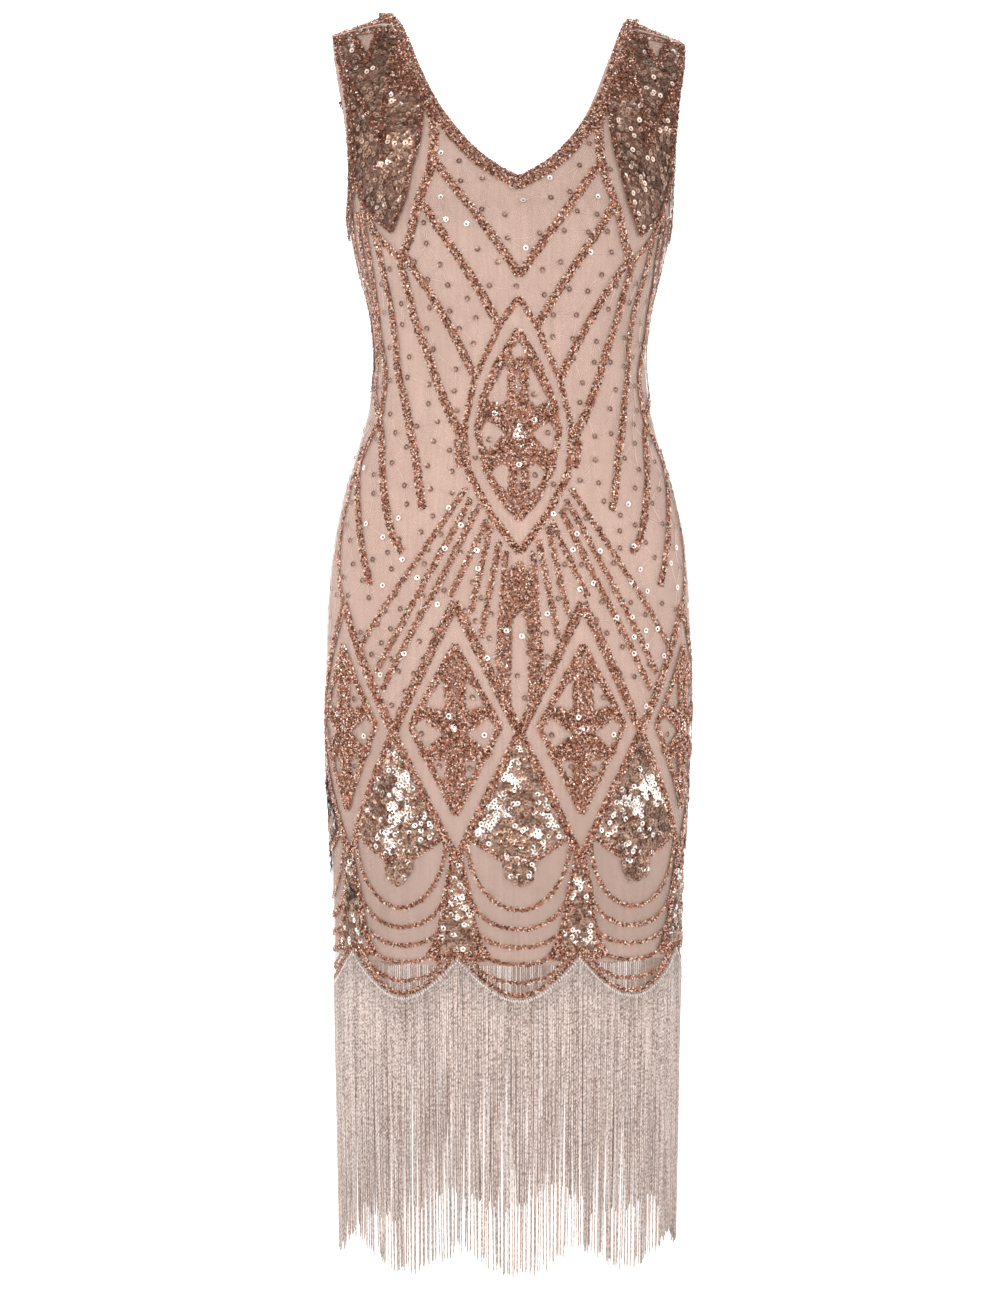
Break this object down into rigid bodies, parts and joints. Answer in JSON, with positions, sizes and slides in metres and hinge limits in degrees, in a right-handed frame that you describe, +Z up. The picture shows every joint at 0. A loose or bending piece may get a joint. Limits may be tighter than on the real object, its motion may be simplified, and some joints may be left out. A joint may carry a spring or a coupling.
{
  "type": "flapper dress",
  "caption": "Sleeveless V-neck flapper dress, hollow as worn, lined, with beaded bands and fields and a scalloped hem with a long fringe.",
  "frame": {"origin": "on the wearer's shoulder line at the height of the neck ends of the straps, on the dress's centre line", "axes": "+Z up, -Y out of the dress's front, +X towards the wearer's left"},
  "size_m": [0.341, 0.2371, 1.1447],
  "materials": {
    "net": "fine sheer net in blush pink, matte",
    "lining": "smooth opaque woven blush lining, soft sheen",
    "beads": "rose-copper seed and bugle beads, sparkling",
    "sequins": "champagne ring sequins, mirror bright",
    "fringe": "twisted blush rayon yarn, soft sheen"
  },
  "bodies": {
    "root": {"front_net": "net", "back_net": "net", "front_lining": "lining", "back_lining": "lining", "neck_band_front": "beads", "neck_band_back": "beads", "armhole_band_left": "beads", "armhole_band_right": "beads", "waist_lozenge_front": "beads", "waist_lozenge_back": "beads", "fringe": "fringe", "shoulder_field_front_left": "sequins", "shoulder_field_front_right": "sequins", "shoulder_field_back_left": "sequins", "shoulder_field_back_right": "sequins", "hip_lozenge_1": "beads", "hip_lozenge_2": "beads", "hip_lozenge_3": "beads", "hip_lozenge_4": "beads", "hip_lozenge_5": "beads", "hip_lozenge_6": "beads", "hip_lozenge_7": "beads", "hip_lozenge_8": "beads", "hip_fan_1": "sequins", "hip_fan_2": "sequins", "hip_fan_3": "sequins", "hip_fan_4": "sequins", "hip_fan_5": "sequins", "hip_fan_6": "sequins", "hip_fan_7": "sequins", "hip_fan_8": "sequins", "hem_wedge_1": "sequins", "hem_wedge_2": "sequins", "hem_wedge_3": "sequins", "hem_wedge_4": "sequins", "hem_wedge_5": "sequins", "hem_wedge_6": "sequins", "hem_wedge_7": "sequins", "hem_wedge_8": "sequins"}
  },
  "joints": []
}
